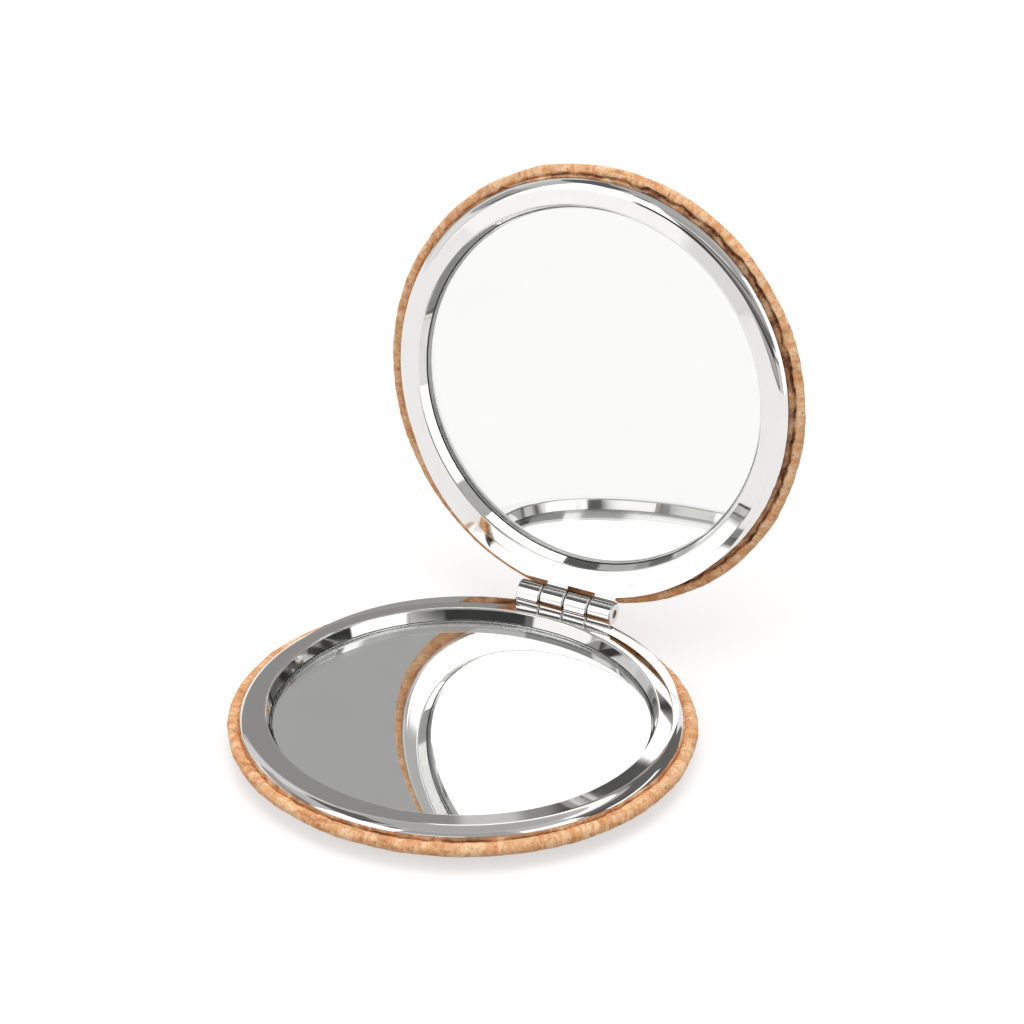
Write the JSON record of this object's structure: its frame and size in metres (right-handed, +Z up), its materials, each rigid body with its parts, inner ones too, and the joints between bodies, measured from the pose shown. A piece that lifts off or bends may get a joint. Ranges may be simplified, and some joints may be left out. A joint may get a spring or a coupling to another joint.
{
  "type": "compact mirror",
  "caption": "Round folding pocket mirror: cork-backed chrome dish halves with recessed mirrors, joined by a friction pin hinge and held shut by hidden magnets.",
  "frame": {"origin": "centre of the flat resting face on the base's back", "axes": "+Z up out of the base's mirror, +Y from the centre towards the hinge, +X along the hinge pin"},
  "size_m": [0.07, 0.0838, 0.0752],
  "materials": {
    "plated_zinc": "polished",
    "mirror_glass": "polished",
    "silvering": "polished",
    "bonding_tape": "matte",
    "magnet": "satin",
    "steel_sheet": "satin",
    "padding": "matte",
    "cork": "matte",
    "steel_pin": "satin"
  },
  "bodies": {
    "base": {"hinge_pin": "steel_pin", "base_frame": "plated_zinc", "base_mirror_glass": "mirror_glass", "base_mirror_silvering": "silvering", "base_mirror_tape": "bonding_tape", "base_magnet": "magnet", "base_cover_tape": "bonding_tape", "base_cover_plate": "steel_sheet", "base_cover_foam": "padding", "base_cork_skin": "cork"},
    "lid": {"lid_frame": "plated_zinc", "lid_mirror_glass": "mirror_glass", "lid_mirror_silvering": "silvering", "lid_mirror_tape": "bonding_tape", "lid_magnet": "magnet", "lid_cover_tape": "bonding_tape", "lid_cover_plate": "steel_sheet", "lid_cover_foam": "padding", "lid_cork_skin": "cork"}
  },
  "joints": [
    {"name": "lid_hinge", "type": "hinge", "parent": "base", "child": "lid", "pos_m": [0, 0.035, 0.00605], "axis": [-1, 0, 0], "range_deg": [-97.2, 74.8]}
  ]
}
